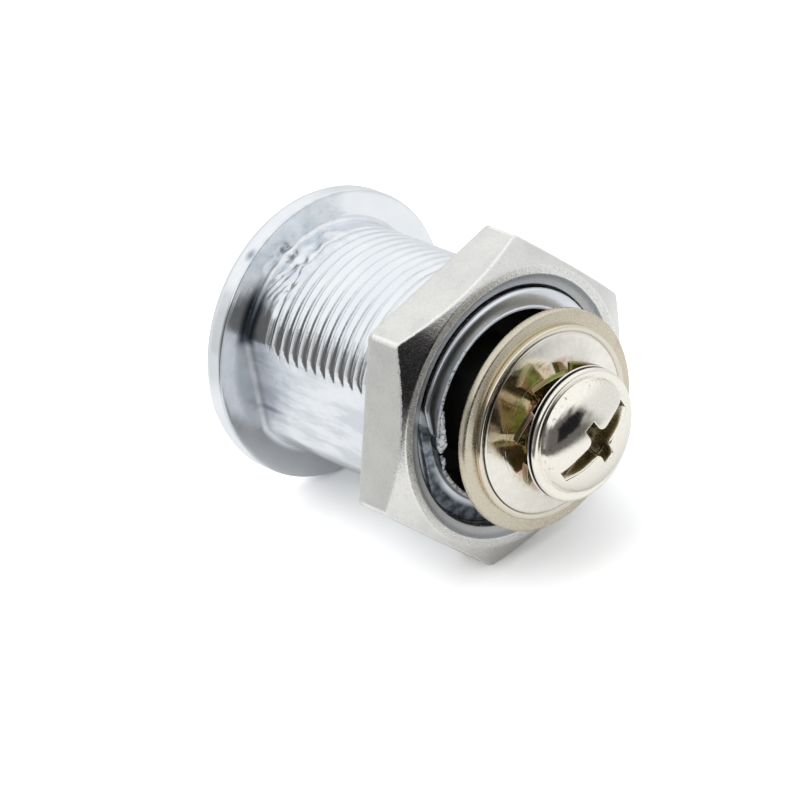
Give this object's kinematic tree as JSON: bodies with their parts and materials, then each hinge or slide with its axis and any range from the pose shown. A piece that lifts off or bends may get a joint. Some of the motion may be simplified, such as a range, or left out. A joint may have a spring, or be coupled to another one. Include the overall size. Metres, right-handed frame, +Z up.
{
  "type": "drawer lock",
  "caption": "Threaded cylinder lock for a drawer, with round flange, hexagon nut, tumblers and a screw that clamps its cam.",
  "frame": {"origin": "centre of the flange's back face, on the lock's axis", "axes": "+Y along the lock's axis from the keyed front to the screw, +Z up, plain flats of the barrel at -X and +X"},
  "size_m": [0.0246, 0.0303, 0.0242],
  "materials": {
    "housing_chrome": "bright chrome over rough cast zinc",
    "nut_satin": "satin, blasted, warm grey",
    "plug_zinc": "chromed cast zinc",
    "tumbler_brass": "stamped brass",
    "spring_wire": "drawn wire",
    "washer_warm": "satin, pale gold",
    "washer_nickel": "polished nickel with fine turning marks",
    "star_chromate": "yellow chromate with green and pink tints",
    "screw_nickel": "bright nickel"
  },
  "bodies": {
    "housing": {"housing": "housing_chrome"},
    "nut": {"hex_nut": "nut_satin"},
    "plug": {"plug": "plug_zinc", "wafer_spring_1": "spring_wire", "wafer_spring_2": "spring_wire", "wafer_spring_3": "spring_wire", "wafer_spring_4": "spring_wire", "wafer_spring_5": "spring_wire", "wafer_spring_6": "spring_wire", "retainer_spring": "spring_wire", "flat_washer": "washer_warm", "dished_washer": "washer_nickel", "star_washer": "star_chromate", "screw": "screw_nickel"},
    "wafer_1": {"wafer_1": "tumbler_brass"},
    "wafer_2": {"wafer_2": "tumbler_brass"},
    "wafer_3": {"wafer_3": "tumbler_brass"},
    "wafer_4": {"wafer_4": "tumbler_brass"},
    "wafer_5": {"wafer_5": "tumbler_brass"},
    "wafer_6": {"wafer_6": "tumbler_brass"},
    "retainer": {"retainer": "tumbler_brass"}
  },
  "joints": [
    {"name": "plug_turn", "type": "hinge", "parent": "housing", "child": "plug", "pos_m": [0, 0, 0], "axis": [0, 1, 0], "range_deg": [0, 90]},
    {"name": "nut_turn", "type": "hinge", "parent": "housing", "child": "nut", "pos_m": [0, 0.0174, 0], "axis": [0, 1, 0], "continuous": true},
    {"name": "wafer_1_slide", "type": "slide", "parent": "plug", "child": "wafer_1", "axis": [0, 0, 1], "range_m": [0, 0.0007], "deforming": ["wafer_spring_1"]},
    {"name": "wafer_2_slide", "type": "slide", "parent": "plug", "child": "wafer_2", "axis": [0, 0, 1], "range_m": [0, 0.0007], "deforming": ["wafer_spring_2"]},
    {"name": "wafer_3_slide", "type": "slide", "parent": "plug", "child": "wafer_3", "axis": [0, 0, 1], "range_m": [0, 0.0007], "deforming": ["wafer_spring_3"]},
    {"name": "wafer_4_slide", "type": "slide", "parent": "plug", "child": "wafer_4", "axis": [0, 0, 1], "range_m": [0, 0.0007], "deforming": ["wafer_spring_4"]},
    {"name": "wafer_5_slide", "type": "slide", "parent": "plug", "child": "wafer_5", "axis": [0, 0, 1], "range_m": [0, 0.0007], "deforming": ["wafer_spring_5"]},
    {"name": "wafer_6_slide", "type": "slide", "parent": "plug", "child": "wafer_6", "axis": [0, 0, 1], "range_m": [0, 0.0007], "deforming": ["wafer_spring_6"]},
    {"name": "retainer_slide", "type": "slide", "parent": "plug", "child": "retainer", "axis": [0, 0, 1], "range_m": [-0.0006, 0], "deforming": ["retainer_spring"]}
  ]
}
